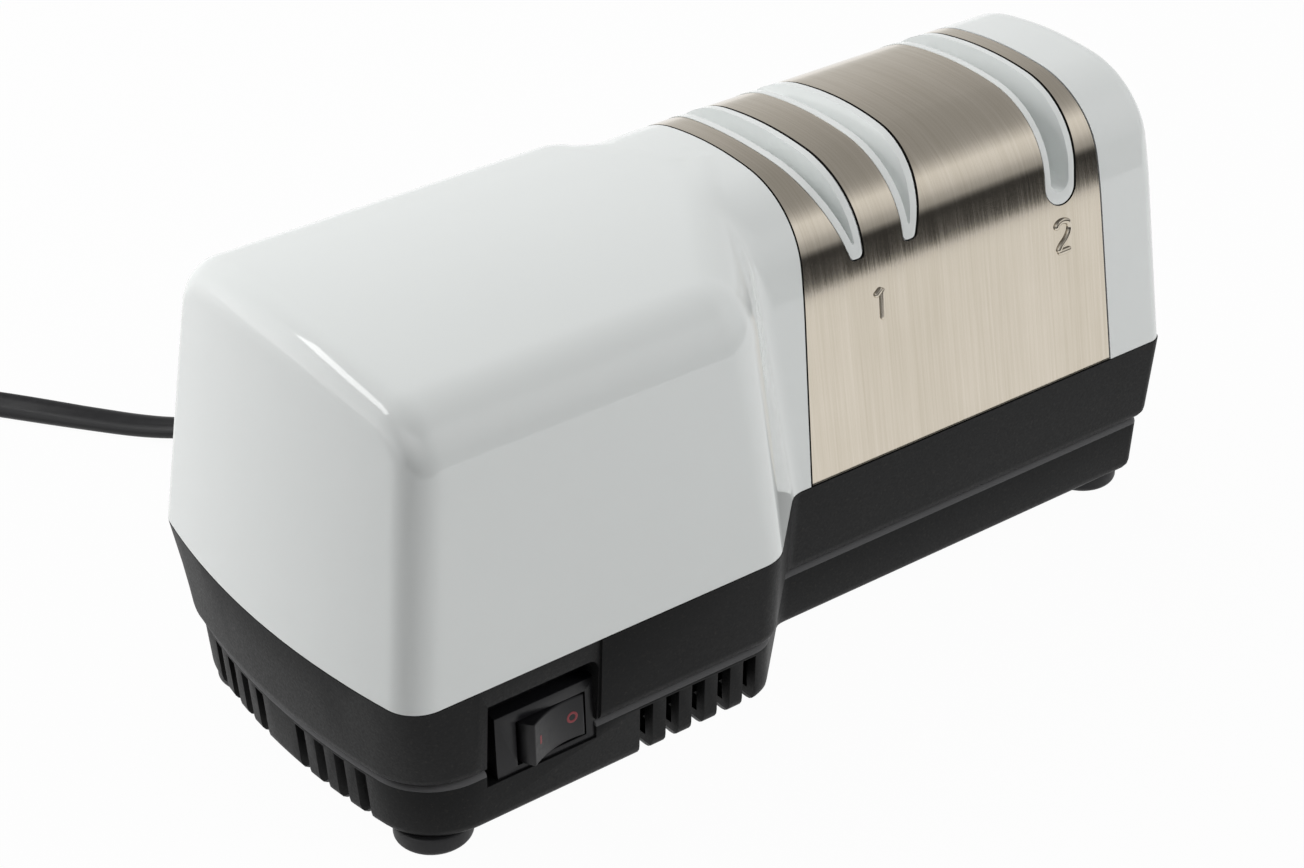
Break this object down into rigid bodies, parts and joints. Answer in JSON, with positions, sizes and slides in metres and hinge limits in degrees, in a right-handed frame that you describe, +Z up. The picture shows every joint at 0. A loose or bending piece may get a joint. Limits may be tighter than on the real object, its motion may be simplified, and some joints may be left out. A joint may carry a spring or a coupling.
{
  "type": "electric knife sharpener",
  "caption": "Two-stage electric knife sharpener: white moulded cover with knife slots and a brushed steel wrap on a black vented base, with rocker switch and mains cord.",
  "frame": {"origin": "bottom centre of the body, on the surface that its feet stand on", "axes": "+Z up, +X along the body towards the second stage, -Y towards the front with the switch"},
  "size_m": [0.37, 0.3163, 0.1178],
  "materials": {
    "white_plastic": "gloss",
    "black_plastic": "fine matte texture",
    "switch_black": "satin",
    "brushed_stainless": "vertical brushed",
    "foot_rubber": "matte",
    "cord_pvc": "satin",
    "zinc_steel": "zinc plated",
    "lamination_steel": "rolled",
    "copper_wire": "enamelled copper",
    "bobbin_nylon": "satin",
    "bronze": "sintered",
    "cast_alloy": "cast",
    "shaft_steel": "ground",
    "fan_plastic": "satin",
    "disc_steel": "turned",
    "diamond_coat": "fine grit",
    "spring_steel": "drawn wire",
    "carrier_plastic": "satin",
    "wheel_grit": "fine grit",
    "magnet_black": "sintered",
    "terminal_brass": "pressed",
    "blade_nickel": "nickel plated"
  },
  "bodies": {
    "root": {"base_tub": "black_plastic", "carrier_screws": "zinc_steel", "clamp_screws": "zinc_steel", "clean_out_cover": "black_plastic", "clean_out_screws": "zinc_steel", "coil_bobbin": "bobbin_nylon", "cord_clamp": "bobbin_nylon", "cord_coil": "cord_pvc", "cord_lead": "cord_pvc", "cord_tail": "cord_pvc", "cover_screws": "zinc_steel", "dust_magnet": "magnet_black", "end_bearing": "bronze", "end_bearing_pillar": "cast_alloy", "front_bearing": "bronze", "front_bearing_bracket": "cast_alloy", "honing_axle": "shaft_steel", "honing_carrier": "carrier_plastic", "inner_cord": "cord_pvc", "mains_plug": "cord_pvc", "motor_laminations": "lamination_steel", "motor_screws": "zinc_steel", "motor_winding": "copper_wire", "pillar_screws": "zinc_steel", "plug_blades": "blade_nickel", "rear_bearing": "bronze", "rear_bearing_bracket": "cast_alloy", "rubber_foot_back_left": "foot_rubber", "rubber_foot_back_right": "foot_rubber", "rubber_foot_front_left": "foot_rubber", "rubber_foot_front_right": "foot_rubber", "shading_rings": "copper_wire", "steel_cover_plate": "brushed_stainless", "strain_relief": "cord_pvc", "switch_body": "switch_black", "switch_terminals": "terminal_brass", "top_cover": "white_plastic"},
    "rotor": {"rotor_core": "lamination_steel", "rotor_end_rings": "cast_alloy", "drive_shaft": "shaft_steel", "cooling_fan": "fan_plastic", "spring_collar": "disc_steel", "collar_pin": "shaft_steel", "disc_clips": "spring_steel", "disc_spring_left": "spring_steel", "disc_spring_right": "spring_steel"},
    "disc_left": {"sharpening_disc_left": "disc_steel", "abrasive_ring_left": "diamond_coat"},
    "disc_right": {"sharpening_disc_right": "disc_steel", "abrasive_ring_right": "diamond_coat"},
    "rocker": {"power_rocker": "switch_black"},
    "wheel_left": {"honing_wheel_left": "wheel_grit"},
    "wheel_right": {"honing_wheel_right": "wheel_grit"}
  },
  "joints": [
    {"name": "rotor_spin", "type": "hinge", "parent": "root", "child": "rotor", "pos_m": [0.0353, 0.01, 0.072], "axis": [1, 0, 0], "continuous": true},
    {"name": "disc_left_slide", "type": "slide", "parent": "rotor", "child": "disc_left", "axis": [1, 0, 0], "range_m": [0, 0.0015], "stiffness_N_per_m": 1500, "springref_m": -0.001, "deforming": ["disc_spring_left"]},
    {"name": "disc_right_slide", "type": "slide", "parent": "rotor", "child": "disc_right", "axis": [-1, 0, 0], "range_m": [0, 0.0015], "stiffness_N_per_m": 1500, "springref_m": -0.001, "deforming": ["disc_spring_right"]},
    {"name": "rocker_tilt", "type": "hinge", "parent": "root", "child": "rocker", "pos_m": [-0.0809, -0.047, 0.024], "axis": [0, 0, 1], "range_deg": [-21.8, 0]},
    {"name": "wheel_left_spin", "type": "hinge", "parent": "root", "child": "wheel_left", "pos_m": [0.09221, 0.01, 0.0835], "axis": [0.9659, 0.2588, 0], "continuous": true},
    {"name": "wheel_right_spin", "type": "hinge", "parent": "root", "child": "wheel_right", "pos_m": [0.09221, 0.01, 0.0835], "axis": [0.9659, 0.2588, 0], "continuous": true}
  ]
}
